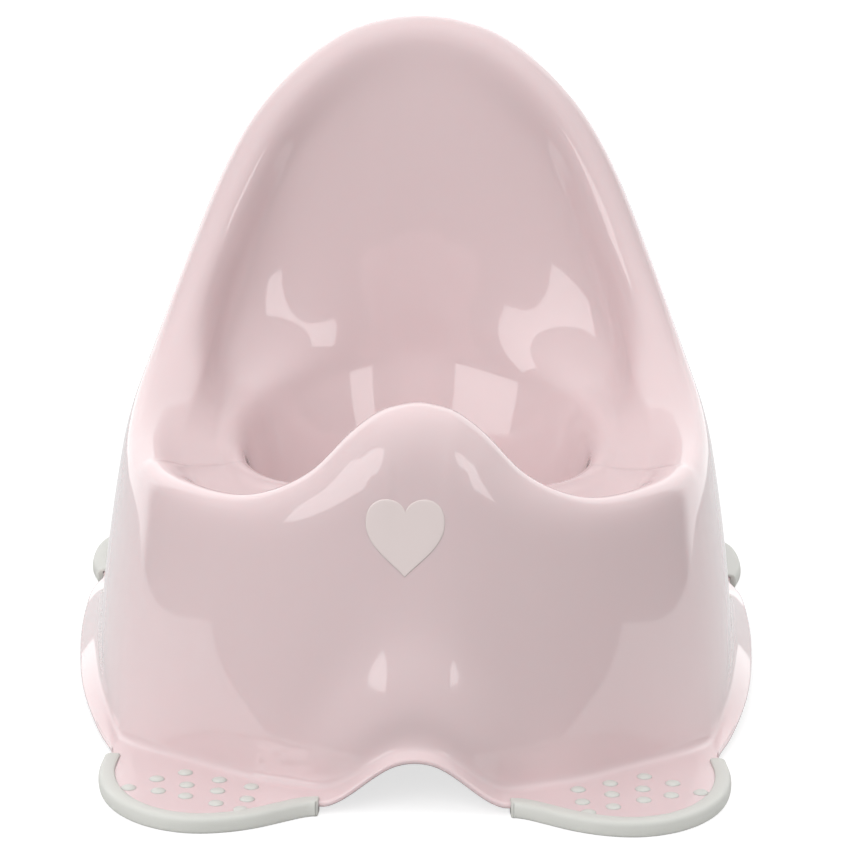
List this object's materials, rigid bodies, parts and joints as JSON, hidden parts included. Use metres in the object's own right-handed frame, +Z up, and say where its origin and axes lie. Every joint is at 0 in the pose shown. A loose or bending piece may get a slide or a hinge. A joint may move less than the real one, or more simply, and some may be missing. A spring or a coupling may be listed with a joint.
{
  "type": "potty training chair",
  "caption": "One-piece moulded potty training chair with a high back, splash guard and soft grip edges on its foot plates.",
  "frame": {"origin": "on the floor, under the centre of the whole outline", "axes": "+Z up, the child sits facing -Y, +X to the right when looking at the front"},
  "size_m": [0.3198, 0.3847, 0.2895],
  "materials": {
    "pink_shell": "gloss",
    "soft_white": "matte",
    "pale_print": "satin"
  },
  "bodies": {
    "root": {"potty_shell": "pink_shell", "front_left_foot_edge": "soft_white", "front_right_foot_edge": "soft_white", "rear_left_foot_edge": "soft_white", "rear_right_foot_edge": "soft_white", "front_left_grip_dots": "soft_white", "front_right_grip_dots": "soft_white", "front_emblem": "pale_print"}
  },
  "joints": []
}
